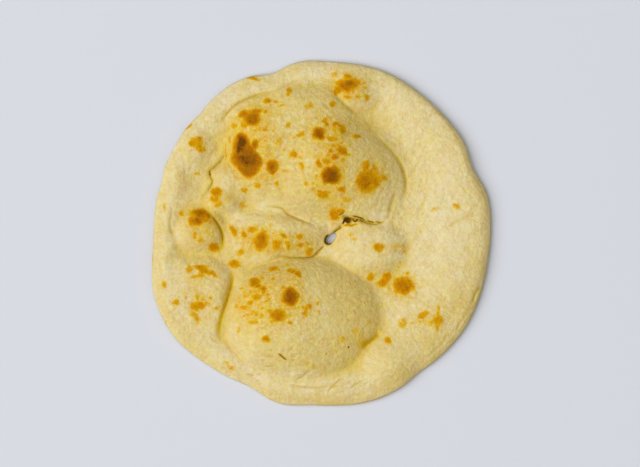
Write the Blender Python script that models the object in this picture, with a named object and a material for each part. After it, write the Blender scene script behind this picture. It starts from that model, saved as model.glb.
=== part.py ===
"""A naan: a round of leavened flatbread, blown into two big domes and a ring of smaller bubbles.

Metres, +Z up. The bread lies on its flat underside at z = 0, with its round centred on the origin.
Sizes listed around a centre start at east (+X) and go anticlockwise in eight even steps.
"""
from collections import namedtuple
from math import radians, tau

import bpy
import numpy as np

# The round of dough: its radius, and the lumps and hollows of its rim.
RADIUS = 0.1136
Lump = namedtuple("Lump", "direction half_width out")  # degrees, degrees, metres
RIM_LUMPS = (
    Lump(12, 7, 0.0006),
    Lump(23, 7, -0.0032),
    Lump(70, 15, 0.0024),
    Lump(95, 7, 0.0016),
    Lump(107, 5, -0.0026),
    Lump(121, 10, 0.0020),
    Lump(135, 3, -0.0008),
    Lump(151, 4, -0.0006),
    Lump(162, 4, -0.0012),
    Lump(176, 16, -0.0026),
    Lump(198, 8, 0.0022),
    Lump(213, 15, 0.0058),
    Lump(244, 6, -0.0014),
    Lump(257, 7, 0.0028),
    Lump(289, 16, 0.0030),
    Lump(305, 5, -0.0012),
    Lump(326, 12, 0.0014),
    Lump(352, 9, -0.0008),
)

# Thickness of the sheet, and of the padded rim round it.
SHEET = 0.0050
RIM_CREST = (0.0100, 0.0084, 0.0084, 0.0082, 0.0088, 0.0086, 0.0088, 0.0092)
CREST_INSET = (0.020, 0.009, 0.011, 0.009, 0.010, 0.011, 0.012, 0.022)
RIM_HALF_WIDTH = (0.025, 0.017, 0.010, 0.009, 0.0085, 0.010, 0.009, 0.021)

# The rounded edge: the height of its outermost line, which curls up here and there, and how far in the
# rounding reaches.
WAIST = (0.0020, 0.0022, 0.0026, 0.0038, 0.0034, 0.0036, 0.0026, 0.0022)
EDGE_REACH = (0.009, 0.0045, 0.006, 0.006, 0.006, 0.007, 0.006, 0.009)
UNDERSIDE_REACH = 0.0090
EDGE_FULLNESS = 2.5  # 2 is a quarter of an ellipse, and more is fuller

# The one small hole: the height of its innermost line, how far the rounding reaches from it, and the
# funnel of dough that leads into it.
HOLE_CENTRE = (0.0066, -0.0032)
HOLE_REACH = (0.0029, 0.0047, 0.0025, 0.0021, 0.0025, 0.0037, 0.0032, 0.0026)
HOLE_WAIST = 0.0020
HOLE_EDGE = (0.0009, 0.0010, 0.0014, 0.0022, 0.0030, 0.0028, 0.0014, 0.0009)
FUNNEL_DEPTH = 0.0004
FUNNEL_REACH = 0.0050

# Bubbles: centre, height of the crown, how square the shoulder is, the width over which the foot melts
# into its neighbours, and the reach of the foot.
FOOT = 0.0055
Bubble = namedtuple("Bubble", "name x y crown shoulder melt reach")
BUBBLES = (
    Bubble("upper_left_lobe", -0.032, 0.060, 0.0195, 2.1, 0.009,
           (0.045, 0.045, 0.035, 0.035, 0.030, 0.035, 0.042, 0.050)),
    Bubble("upper_crest", -0.008, 0.076, 0.0175, 2.1, 0.009,
           (0.036, 0.030, 0.023, 0.028, 0.034, 0.042, 0.047, 0.045)),
    Bubble("upper_right_lobe", 0.003, 0.049, 0.0240, 1.8, 0.005,
           (0.0495, 0.036, 0.040, 0.044, 0.044, 0.047, 0.040, 0.057)),
    Bubble("upper_foot", -0.062, 0.036, 0.0105, 2.2, 0.004,
           (0.020, 0.016, 0.013, 0.011, 0.011, 0.011, 0.010, 0.016)),
    Bubble("top_small", 0.021, 0.094, 0.0125, 2.2, 0.004,
           (0.018, 0.017, 0.014, 0.016, 0.013, 0.0125, 0.013, 0.016)),
    Bubble("north_west", -0.084, 0.058, 0.0098, 2.0, 0.004,
           (0.012, 0.012, 0.014, 0.012, 0.010, 0.012, 0.016, 0.012)),
    Bubble("west_small", -0.065, 0.023, 0.0105, 2.2, 0.003,
           (0.014, 0.012, 0.011, 0.012, 0.013, 0.012, 0.010, 0.012)),
    Bubble("west_round", -0.081, 0.003, 0.0115, 2.8, 0.002,
           (0.0175, 0.017, 0.014, 0.015, 0.018, 0.018, 0.015, 0.017)),
    Bubble("middle_left", -0.025, 0.000, 0.0130, 2.0, 0.003,
           (0.029, 0.017, 0.015, 0.022, 0.039, 0.027, 0.016, 0.020)),
    Bubble("middle_right", 0.035, -0.010, 0.0112, 2.5, 0.002,
           (0.023, 0.020, 0.018, 0.024, 0.026, 0.021, 0.018, 0.020)),
    Bubble("lower_dome", -0.026, -0.053, 0.0230, 2.5, 0.002,
           (0.068, 0.048, 0.036, 0.036, 0.038, 0.042, 0.045, 0.056)),
    Bubble("lower_left_puff", -0.084, -0.044, 0.0098, 6.0, 0.002,
           (0.022, 0.030, 0.028, 0.033, 0.025, 0.030, 0.037, 0.030)),
    Bubble("lower_right_puff", 0.045, -0.086, 0.0115, 2.0, 0.004,
           (0.020, 0.020, 0.019, 0.020, 0.019, 0.017, 0.015, 0.019)),
)

# Folds pressed into the skin: half-width, depth, height of the bead beside them, and their line.
Fold = namedtuple("Fold", "name half_width depth bead line")
FOLDS = (
    Fold("upper_left", 0.0010, 0.0011, 0.0001,
         ((-0.066, 0.070), (-0.064, 0.077), (-0.058, 0.084), (-0.051, 0.0885), (-0.040, 0.0925),
          (-0.026, 0.096))),
    Fold("crack", 0.0010, 0.0016, 0.0001,
         ((-0.0625, 0.056), (-0.064, 0.052), (-0.067, 0.0475), (-0.073, 0.042), (-0.0735, 0.038),
          (-0.072, 0.035), (-0.074, 0.030), (-0.078, 0.025), (-0.080, 0.019))),
    Fold("west_round_right", 0.0010, 0.0016, 0.0001,
         ((-0.080, 0.018), (-0.075, 0.0145), (-0.069, 0.0075), (-0.0655, 0.000), (-0.065, -0.008),
          (-0.067, -0.013))),
    Fold("west_round_left", 0.0012, 0.0006, 0.0,
         ((-0.098, 0.019), (-0.100, 0.006), (-0.097, -0.002))),
    Fold("middle_top", 0.0008, 0.0010, 0.0001,
         ((-0.039, 0.018), (-0.027, 0.017), (-0.020, 0.012), (-0.002, 0.005))),
    Fold("middle_bottom", 0.0009, 0.0015, 0.0001,
         ((-0.033, -0.015), (-0.017, -0.016), (-0.005, -0.015), (0.002, -0.009))),
    Fold("lower_left", 0.0013, 0.0013, 0.0001,
         ((-0.0605, -0.022), (-0.0585, -0.027), (-0.0595, -0.035), (-0.0620, -0.044), (-0.0645, -0.051),
          (-0.0670, -0.061), (-0.0670, -0.067), (-0.0635, -0.075))),
    Fold("lower_right", 0.0014, 0.0011, 0.0001,
         ((0.040, -0.066), (0.035, -0.070), (0.027, -0.077))),
    Fold("upper_right_outer", 0.0012, 0.0007, 0.0001,
         ((0.024, 0.080), (0.038, 0.064), (0.047, 0.055), (0.053, 0.046), (0.0565, 0.036), (0.0560, 0.025),
          (0.052, 0.018))),
    Fold("upper_right_inner", 0.0011, 0.0006, 0.0001,
         ((0.050, 0.029), (0.048, 0.021), (0.045, 0.011))),
    Fold("top_small_edge", 0.0012, 0.0009, 0.0001,
         ((0.008, 0.097), (0.012, 0.090), (0.019, 0.083), (0.027, 0.078))),
    Fold("slit", 0.0008, 0.0014, 0.0001,
         ((0.008, 0.000), (0.011, 0.003), (0.015, 0.006))),
    Fold("slit_left", 0.0009, 0.0012, 0.0,
         ((0.003, -0.008), (-0.004, -0.014))),
    Fold("tear", 0.0011, 0.0016, 0.0001,
         ((0.011, 0.014), (0.017, 0.011), (0.025, 0.009), (0.032, 0.007), (0.043, 0.007))),
    Fold("edge_lip", 0.0010, 0.0008, 0.0001,
         ((0.108, -0.034), (0.103, -0.040), (0.101, -0.047))),
)
GROOVE_ROUNDNESS = 1.4  # 2 is a bell curve, and less is a sharper line
BEAD_OFFSET = 1.9  # of a fold's half-width
FOLD_SAMPLES = 25
FADE = 0.3  # share of a fold's length over which each end runs out

# Unevenness of the dough: cell size, height and seed of each layer, below and above the bubbles.
Unevenness = namedtuple("Unevenness", "cell height seed")
SHEET_UNEVENNESS = (Unevenness(0.022, 0.0005, 1), Unevenness(0.011, 0.00035, 2))
SKIN_UNEVENNESS = (Unevenness(0.016, 0.00035, 3), Unevenness(0.007, 0.00018, 4))
LATTICE_SIZE = 64

# The mesh: segments around, rings across the top and across the underside, and the faces kept.
SEGMENTS = 256
TOP_RINGS = 120
UNDERSIDE_RINGS = 36
EDGE_CROWDING = 0.8
TRIANGLES = 10000

BREAD_COLOUR = (0.66, 0.50, 0.22, 1.0)
BREAD_ROUGHNESS = 0.85


def clear_scene():
    for item in list(bpy.data.objects):
        bpy.data.objects.remove(item, do_unlink=True)


def curve_through(values, place, closed):
    """Height at `place`, counted in values, of the Catmull-Rom curve through evenly spaced values."""
    values = np.asarray(values, dtype=float)
    step = np.floor(place).astype(int)
    part = place - step
    count = len(values)

    def value(shift):
        index = step + shift
        return values[index % count if closed else np.clip(index, 0, count - 1)]

    before, start, end, after = value(-1), value(0), value(1), value(2)
    slope = end - before
    bend = 2 * before - 5 * start + 4 * end - after
    twist = 3 * start - before - 3 * end + after
    return start + 0.5 * part * (slope + part * (bend + part * twist))


def around(values, angle):
    """The value in the direction `angle` of sizes listed around a centre."""
    return curve_through(values, np.mod(angle, tau) / tau * len(values), True)


def ease(part):
    """0 to 1 with a level start and end."""
    part = np.clip(part, 0, 1)
    return part * part * (3 - 2 * part)


def rounded_edge(inset, reach):
    """Height, 0 to 1, of a rounded edge at a distance from it."""
    left = 1 - np.clip(inset / reach, 0, 1)
    return (1 - left ** EDGE_FULLNESS) ** (1 / EDGE_FULLNESS)


def outline_radius(angle):
    radius = np.full_like(angle, RADIUS)
    for lump in RIM_LUMPS:
        turn = np.degrees(np.angle(np.exp(1j * (angle - radians(lump.direction)))))
        radius += lump.out * np.exp(-((turn / lump.half_width) ** 2))
    return radius


def uneven(x, y, layer):
    """Smooth seeded noise with the layer's cell size and height."""
    table = np.random.default_rng(layer.seed).uniform(-1, 1, (LATTICE_SIZE, LATTICE_SIZE))
    u = x / layer.cell
    v = y / layer.cell
    column = np.floor(u).astype(int)
    row = np.floor(v).astype(int)
    across = ease(u - column)
    along = ease(v - row)

    def at(columns, rows):
        return table[columns % LATTICE_SIZE, rows % LATTICE_SIZE]

    low = at(column, row) * (1 - across) + at(column + 1, row) * across
    high = at(column, row + 1) * (1 - across) + at(column + 1, row + 1) * across
    return layer.height * (low * (1 - along) + high * along)


def melted_max(a, b, melt):
    """The higher of two surfaces, rounded over `melt` where they meet."""
    overlap = np.clip(1 - np.abs(a - b) / melt, 0, 1)
    return np.maximum(a, b) + overlap * overlap * melt / 4


def bubble_height(x, y, bubble):
    """Height of a bubble's skin, which sinks below the sheet outside its foot."""
    dx = x - bubble.x
    dy = y - bubble.y
    away = np.hypot(dx, dy)
    mean = sum(bubble.reach) / len(bubble.reach)
    foot = around(bubble.reach, np.arctan2(dy, dx))
    rounded_foot = mean + (foot - mean) * ease(away / foot)
    return FOOT + (bubble.crown - FOOT) * (1 - (away / rounded_foot) ** bubble.shoulder)


def fold_relief(x, y, fold):
    """Groove of a fold, with a bead on either side, running out at both ends."""
    line = np.array(fold.line)
    place = np.linspace(0, len(line) - 1, FOLD_SAMPLES)
    path = np.stack([curve_through(line[:, axis], place, False) for axis in (0, 1)], axis=1)
    distance = np.full(x.shape, np.inf)
    share = np.zeros(x.shape)
    for index in range(FOLD_SAMPLES - 1):
        start = path[index]
        step = path[index + 1] - start
        part = np.clip(((x - start[0]) * step[0] + (y - start[1]) * step[1]) / (step @ step), 0, 1)
        gap = np.hypot(x - start[0] - part * step[0], y - start[1] - part * step[1])
        nearer = gap < distance
        distance[nearer] = gap[nearer]
        share[nearer] = (index + part[nearer]) / (FOLD_SAMPLES - 1)
    spread = distance / fold.half_width
    groove = fold.depth * np.exp(-(spread ** GROOVE_ROUNDNESS))
    bead = fold.bead * np.exp(-((spread - BEAD_OFFSET) ** 2))
    return (bead - groove) * ease(np.minimum(share, 1 - share) / FADE)


def hole_edge(x, y):
    """How far the rounding of the hole's edge reaches, in the direction of each point from the hole."""
    return around(HOLE_EDGE, np.arctan2(y - HOLE_CENTRE[1], x - HOLE_CENTRE[0]))


def top_height(x, y, rim_inset, hole_inset):
    """Height of the top skin at points given with their distances from the rim and from the hole."""
    angle = np.arctan2(y, x)
    crest = np.exp(-(((rim_inset - around(CREST_INSET, angle)) / around(RIM_HALF_WIDTH, angle)) ** 2))
    height = SHEET + (around(RIM_CREST, angle) - SHEET) * crest
    for layer in SHEET_UNEVENNESS:
        height += uneven(x, y, layer)
    for bubble in BUBBLES:
        height = melted_max(height, bubble_height(x, y, bubble), bubble.melt)
    for layer in SKIN_UNEVENNESS:
        height += uneven(x, y, layer)
    for fold in FOLDS:
        height += fold_relief(x, y, fold)
    height -= FUNNEL_DEPTH * np.exp(-((hole_inset / FUNNEL_REACH) ** 2))
    waist = around(WAIST, angle)
    height = waist + (height - waist) * rounded_edge(rim_inset, around(EDGE_REACH, angle))
    return HOLE_WAIST + (height - HOLE_WAIST) * rounded_edge(hole_inset, hole_edge(x, y))


def underside_height(x, y, rim_inset, hole_inset):
    """Height of the underside: flat, and curling up to the rim and to the edge of the hole."""
    rim = around(WAIST, np.arctan2(y, x)) * (1 - rounded_edge(rim_inset, UNDERSIDE_REACH))
    hole = HOLE_WAIST * (1 - rounded_edge(hole_inset, hole_edge(x, y)))
    return rim + hole


def crowded(part):
    """0 to 1, with small steps at both ends, where the edges are round."""
    return (1 - EDGE_CROWDING) * part + EDGE_CROWDING * 0.5 * (1 - np.cos(np.pi * part))


def ring_places():
    """For each ring of the mesh, its place from the hole (0) to the rim (1), and whether it is on top.

    The first ring is the outermost line; the rings go over the top to the hole and back underneath.
    """
    top = 1 - crowded(np.arange(TOP_RINGS) / TOP_RINGS)
    underside = crowded(np.arange(UNDERSIDE_RINGS) / UNDERSIDE_RINGS)
    on_top = np.arange(TOP_RINGS + UNDERSIDE_RINGS) <= TOP_RINGS
    return np.concatenate([top, underside]), on_top


def bread_points(segments):
    """Points of the whole skin, one row of rings for each segment, with its box centred on the origin."""
    angle = np.arange(segments) / segments * tau
    outline = outline_radius(angle)
    hole = around(HOLE_REACH, angle)
    rim_points = np.stack([outline * np.cos(angle), outline * np.sin(angle)], axis=1)
    hole_points = np.stack([hole * np.cos(angle), hole * np.sin(angle)], axis=1) + HOLE_CENTRE
    span = np.linalg.norm(rim_points - hole_points, axis=1)

    place, on_top = ring_places()
    flat = hole_points[:, None, :] + place[None, :, None] * (rim_points - hole_points)[:, None, :]
    x = flat[:, :, 0]
    y = flat[:, :, 1]
    rim_inset = span[:, None] * (1 - place)
    hole_inset = span[:, None] * place
    top = top_height(x, y, rim_inset, hole_inset)
    underside = underside_height(x, y, rim_inset, hole_inset)
    height = np.where(on_top, top, underside)
    centre = (rim_points.max(axis=0) + rim_points.min(axis=0)) / 2
    return np.stack([x - centre[0], y - centre[1], height], axis=2)


def bread_material():
    material = bpy.data.materials.new("baked_dough")
    material.use_nodes = True
    shader = material.node_tree.nodes["Principled BSDF"]
    shader.inputs["Base Color"].default_value = BREAD_COLOUR
    shader.inputs["Roughness"].default_value = BREAD_ROUGHNESS
    shader.inputs["Metallic"].default_value = 0.0
    return material


def make_naan(collection):
    """A torus pressed into the shape of the bread: its tube becomes the skin, its middle the hole."""
    rings = TOP_RINGS + UNDERSIDE_RINGS
    bpy.ops.mesh.primitive_torus_add(major_segments=SEGMENTS, minor_segments=rings,
                                     major_radius=RADIUS / 2, minor_radius=RADIUS / 3)
    naan = bpy.context.active_object
    naan.name = "naan"
    naan.data.name = "naan"
    naan.data.vertices.foreach_set("co", bread_points(SEGMENTS).ravel())
    naan.data.update()
    naan.data.shade_smooth()
    naan.data.materials.append(bread_material())

    thin = naan.modifiers.new("fewer_faces", "DECIMATE")
    thin.ratio = TRIANGLES / (2 * SEGMENTS * rings)
    for owner in naan.users_collection:
        owner.objects.unlink(naan)
    collection.objects.link(naan)


def main():
    clear_scene()
    collection = bpy.data.collections.new("bread")
    bpy.context.scene.collection.children.link(collection)
    make_naan(collection)


main()
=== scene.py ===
"""A naan dressed as baked bread: skin with fine folds and blisters, burns, flecks and floury dough.

Metres, +Z up, where nothing else is said. The bread's form repeats the named values of its solid, and is
finer. Sizes listed around a centre start at east (+X) and go anticlockwise in eight even steps.
"""

from collections import namedtuple
from math import cos, pi, radians, sin, sqrt, tau

import bpy
import numpy as np
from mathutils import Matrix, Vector


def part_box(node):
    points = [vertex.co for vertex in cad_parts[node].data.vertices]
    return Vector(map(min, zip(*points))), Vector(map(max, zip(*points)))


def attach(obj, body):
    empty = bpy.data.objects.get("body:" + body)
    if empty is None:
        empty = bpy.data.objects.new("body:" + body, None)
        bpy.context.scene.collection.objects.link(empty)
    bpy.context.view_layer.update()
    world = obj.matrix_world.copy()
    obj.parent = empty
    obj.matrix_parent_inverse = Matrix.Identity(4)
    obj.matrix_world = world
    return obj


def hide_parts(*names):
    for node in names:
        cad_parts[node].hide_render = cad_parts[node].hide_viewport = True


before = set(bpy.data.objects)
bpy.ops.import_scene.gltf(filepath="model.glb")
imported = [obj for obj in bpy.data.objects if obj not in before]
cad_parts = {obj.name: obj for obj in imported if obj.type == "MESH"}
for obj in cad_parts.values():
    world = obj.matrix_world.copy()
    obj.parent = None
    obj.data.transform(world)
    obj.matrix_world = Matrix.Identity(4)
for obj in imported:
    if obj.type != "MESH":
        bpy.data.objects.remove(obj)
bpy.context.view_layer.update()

NAAN = "naan"
SKIN = "naan_skin"
MM = 0.001

# ---- the form, as in the solid

RADIUS = 0.1136
Lump = namedtuple("Lump", "direction half_width out")  # degrees, degrees, metres
RIM_LUMPS = (
    Lump(12, 7, 0.0006),
    Lump(23, 7, -0.0032),
    Lump(70, 15, 0.0024),
    Lump(95, 7, 0.0016),
    Lump(107, 5, -0.0026),
    Lump(121, 10, 0.0020),
    Lump(135, 3, -0.0008),
    Lump(151, 4, -0.0006),
    Lump(162, 4, -0.0012),
    Lump(176, 16, -0.0026),
    Lump(198, 8, 0.0022),
    Lump(213, 15, 0.0058),
    Lump(244, 6, -0.0014),
    Lump(257, 7, 0.0028),
    Lump(289, 16, 0.0030),
    Lump(305, 5, -0.0012),
    Lump(326, 12, 0.0014),
    Lump(352, 9, -0.0008),
)

# Thickness of the sheet, and of the padded rim round it.
SHEET = 0.0050
RIM_CREST = (0.0100, 0.0084, 0.0084, 0.0082, 0.0088, 0.0086, 0.0088, 0.0092)
CREST_INSET = (0.020, 0.009, 0.011, 0.009, 0.010, 0.011, 0.012, 0.022)
RIM_HALF_WIDTH = (0.025, 0.017, 0.010, 0.009, 0.0085, 0.010, 0.009, 0.021)

# The rounded edge: the height of its outermost line, and how far in the rounding reaches.
WAIST = (0.0020, 0.0022, 0.0026, 0.0038, 0.0034, 0.0036, 0.0026, 0.0022)
EDGE_REACH = (0.009, 0.0045, 0.006, 0.006, 0.006, 0.007, 0.006, 0.009)
UNDERSIDE_REACH = 0.0090
EDGE_FULLNESS = 2.5  # 2 is a quarter of an ellipse, and more is fuller

# The one small hole: the height of its innermost line, how far the rounding reaches from it, and the
# funnel of dough that leads into it.
HOLE_CENTRE = (0.0066, -0.0032)
HOLE_REACH = (0.0029, 0.0047, 0.0025, 0.0021, 0.0025, 0.0037, 0.0032, 0.0026)
HOLE_WAIST = 0.0020
HOLE_EDGE = (0.0009, 0.0010, 0.0014, 0.0022, 0.0030, 0.0028, 0.0014, 0.0009)
FUNNEL_DEPTH = 0.0004
FUNNEL_REACH = 0.0050

# Bubbles: centre, height of the crown, how square the shoulder is, the width over which the foot melts
# into its neighbours, and the reach of the foot.
FOOT = 0.0055
Bubble = namedtuple("Bubble", "name x y crown shoulder melt reach")
BUBBLES = (
    Bubble("upper_left_lobe", -0.032, 0.060, 0.0195, 2.1, 0.009,
           (0.045, 0.045, 0.035, 0.035, 0.030, 0.035, 0.042, 0.050)),
    Bubble("upper_crest", -0.008, 0.076, 0.0175, 2.1, 0.009,
           (0.036, 0.030, 0.023, 0.028, 0.034, 0.042, 0.047, 0.045)),
    Bubble("upper_right_lobe", 0.003, 0.049, 0.0240, 1.8, 0.005,
           (0.0495, 0.036, 0.040, 0.044, 0.044, 0.047, 0.040, 0.057)),
    Bubble("upper_foot", -0.062, 0.036, 0.0105, 2.2, 0.004,
           (0.020, 0.016, 0.013, 0.011, 0.011, 0.011, 0.010, 0.016)),
    Bubble("top_small", 0.021, 0.094, 0.0125, 2.2, 0.004,
           (0.018, 0.017, 0.014, 0.016, 0.013, 0.0125, 0.013, 0.016)),
    Bubble("north_west", -0.084, 0.058, 0.0098, 2.0, 0.004,
           (0.012, 0.012, 0.014, 0.012, 0.010, 0.012, 0.016, 0.012)),
    Bubble("west_small", -0.065, 0.023, 0.0105, 2.2, 0.003,
           (0.014, 0.012, 0.011, 0.012, 0.013, 0.012, 0.010, 0.012)),
    Bubble("west_round", -0.081, 0.003, 0.0115, 2.8, 0.002,
           (0.0175, 0.017, 0.014, 0.015, 0.018, 0.018, 0.015, 0.017)),
    Bubble("middle_left", -0.025, 0.000, 0.0130, 2.0, 0.003,
           (0.029, 0.017, 0.015, 0.022, 0.039, 0.027, 0.016, 0.020)),
    Bubble("middle_right", 0.035, -0.010, 0.0112, 2.5, 0.002,
           (0.023, 0.020, 0.018, 0.024, 0.026, 0.021, 0.018, 0.020)),
    Bubble("lower_dome", -0.026, -0.053, 0.0230, 2.5, 0.002,
           (0.068, 0.048, 0.036, 0.036, 0.038, 0.042, 0.045, 0.056)),
    Bubble("lower_left_puff", -0.084, -0.044, 0.0098, 6.0, 0.002,
           (0.022, 0.030, 0.028, 0.033, 0.025, 0.030, 0.037, 0.030)),
    Bubble("lower_right_puff", 0.045, -0.086, 0.0115, 2.0, 0.004,
           (0.020, 0.020, 0.019, 0.020, 0.019, 0.017, 0.015, 0.019)),
)

# Folds pressed into the skin: half-width, depth, height of the bead beside them, and their line.
Fold = namedtuple("Fold", "name half_width depth bead line")
FOLDS = (
    Fold("upper_left", 0.0010, 0.0011, 0.0001,
         ((-0.066, 0.070), (-0.064, 0.077), (-0.058, 0.084), (-0.051, 0.0885), (-0.040, 0.0925),
          (-0.026, 0.096))),
    Fold("crack", 0.0010, 0.0016, 0.0001,
         ((-0.0625, 0.056), (-0.064, 0.052), (-0.067, 0.0475), (-0.073, 0.042), (-0.0735, 0.038),
          (-0.072, 0.035), (-0.074, 0.030), (-0.078, 0.025), (-0.080, 0.019))),
    Fold("west_round_right", 0.0010, 0.0016, 0.0001,
         ((-0.080, 0.018), (-0.075, 0.0145), (-0.069, 0.0075), (-0.0655, 0.000), (-0.065, -0.008),
          (-0.067, -0.013))),
    Fold("west_round_left", 0.0012, 0.0006, 0.0, ((-0.098, 0.019), (-0.100, 0.006), (-0.097, -0.002))),
    Fold("middle_top", 0.0008, 0.0010, 0.0001,
         ((-0.039, 0.018), (-0.027, 0.017), (-0.020, 0.012), (-0.002, 0.005))),
    Fold("middle_bottom", 0.0009, 0.0015, 0.0001,
         ((-0.033, -0.015), (-0.017, -0.016), (-0.005, -0.015), (0.002, -0.009))),
    Fold("lower_left", 0.0013, 0.0013, 0.0001,
         ((-0.0605, -0.022), (-0.0585, -0.027), (-0.0595, -0.035), (-0.0620, -0.044), (-0.0645, -0.051),
          (-0.0670, -0.061), (-0.0670, -0.067), (-0.0635, -0.075))),
    Fold("lower_right", 0.0014, 0.0011, 0.0001, ((0.040, -0.066), (0.035, -0.070), (0.027, -0.077))),
    Fold("upper_right_outer", 0.0012, 0.0007, 0.0001,
         ((0.024, 0.080), (0.038, 0.064), (0.047, 0.055), (0.053, 0.046), (0.0565, 0.036), (0.0560, 0.025),
          (0.052, 0.018))),
    Fold("upper_right_inner", 0.0011, 0.0006, 0.0001, ((0.050, 0.029), (0.048, 0.021), (0.045, 0.011))),
    Fold("top_small_edge", 0.0012, 0.0009, 0.0001,
         ((0.008, 0.097), (0.012, 0.090), (0.019, 0.083), (0.027, 0.078))),
    Fold("slit", 0.0008, 0.0014, 0.0001, ((0.008, 0.000), (0.011, 0.003), (0.015, 0.006))),
    Fold("slit_left", 0.0009, 0.0012, 0.0, ((0.003, -0.008), (-0.004, -0.014))),
    Fold("tear", 0.0011, 0.0016, 0.0001,
         ((0.011, 0.014), (0.017, 0.011), (0.025, 0.009), (0.032, 0.007), (0.043, 0.007))),
    Fold("edge_lip", 0.0010, 0.0008, 0.0001, ((0.108, -0.034), (0.103, -0.040), (0.101, -0.047))),
)
GROOVE_ROUNDNESS = 1.4  # 2 is a bell curve, and less is a sharper line
BEAD_OFFSET = 1.9  # of a fold's half-width
FOLD_SAMPLES = 25
FADE = 0.3  # share of a fold's length over which each end runs out

Unevenness = namedtuple("Unevenness", "cell height seed")
SHEET_UNEVENNESS = (Unevenness(0.022, 0.0005, 1), Unevenness(0.011, 0.00035, 2))
SKIN_UNEVENNESS = (Unevenness(0.016, 0.00035, 3), Unevenness(0.007, 0.00018, 4))
LATTICE_SIZE = 64

# ---- relief too fine for the solid

def fine(half_width, depth, bead, *line):
    """A fine fold without a name, given in millimetres."""
    return Fold(None, half_width * MM, depth * MM, bead * MM, tuple((x * MM, y * MM) for x, y in line))


WRINKLES = (
    # along larger folds
    fine(0.7, 1.3, 0, (40.5, -65.5), (36, -69), (32, -72.5), (27.5, -76.5)),
    fine(0.6, 1.1, 0, (-63, 55), (-64.5, 51), (-68, 46.5), (-73, 42)),
    fine(0.9, 0.9, 0, (47, 56.5), (53, 47.5), (56, 39.7), (56.8, 33), (55.6, 25)),
    # the lower rim and its scratches
    fine(1, 0.6, 0.2, (-20, -99.5), (-16.3, -101), (-3.7, -102.3), (4.5, -101.2), (9, -99)),
    fine(0.9, 0.6, 0.1, (-17, -99), (-13, -95.5), (-9, -92.5), (-4.5, -89.5)),
    fine(0.7, 0.9, 0.1, (4, -106), (7, -102.5), (11, -98.5), (15.5, -94.5)),
    fine(0.6, 0.8, 0.1, (19, -103.3), (22, -101.2), (27, -97.8)),
    fine(0.6, 0.9, 0, (-37, -80.8), (-33.5, -81.5), (-30, -81.2)),
    fine(0.6, 0.9, 0, (-37.2, -87.8), (-34.5, -88.2), (-31.5, -88)),
    fine(0.6, 0.9, 0, (-20, -80.8), (-17.8, -81.2), (-15.5, -81)),
    fine(0.6, 0.9, 0, (-20.2, -83.6), (-18, -83.8), (-15.8, -83.6)),
    fine(0.6, 0.7, 0, (-49, -92.8), (-46.2, -93.8), (-43.5, -94.5)),
    # the lower dome
    fine(0.8, 0.4, 0.1, (-10.5, -71.7), (-5, -70), (0, -69)),
    fine(0.8, 0.3, 0.1, (-22.5, -80), (-19, -76), (-15.7, -71.7)),
    fine(1, 0.3, 0.1, (-45, -83), (-40, -85), (-34, -85.5)),
    fine(0.8, 0.3, 0.1, (-43, -86), (-38, -87.5), (-33, -87)),
    fine(1, 0.3, 0.1, (-52, -30), (-44, -23), (-34, -18.5), (-24, -17.5)),
    # the east side and the upper dome
    fine(1.6, 0.4, 0.1, (63.5, 10), (69, 22), (72.5, 29)),
    fine(2.2, 0.4, 0.1, (80, 1), (92, 9), (105, 14)),
    fine(1, 0.4, 0.1, (-50, 89.5), (-36, 92.5), (-22, 99), (-8, 105)),
    fine(0.7, 0.6, 0.1, (49, 26), (46, 18), (45.5, 12), (43.5, 8.5)),
    fine(2.2, 0.4, 0.2, (-25, 36), (-26, 27), (-24, 19)),
    # round the padded rim
    fine(0.9, 0.3, 0.1, (69, 90), (79, 81), (86.5, 72), (97, 52)),
    fine(0.9, 0.4, 0.1, (98.5, 43), (105, 34), (110, 23), (111.5, 11)),
    fine(0.9, 0.2, 0.1, (110.5, -4), (109, -22), (105.5, -34), (99.5, -49)),
    fine(0.9, 0.2, 0.1, (98, -52), (91, -62), (78, -76), (62, -91)),
)

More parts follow.
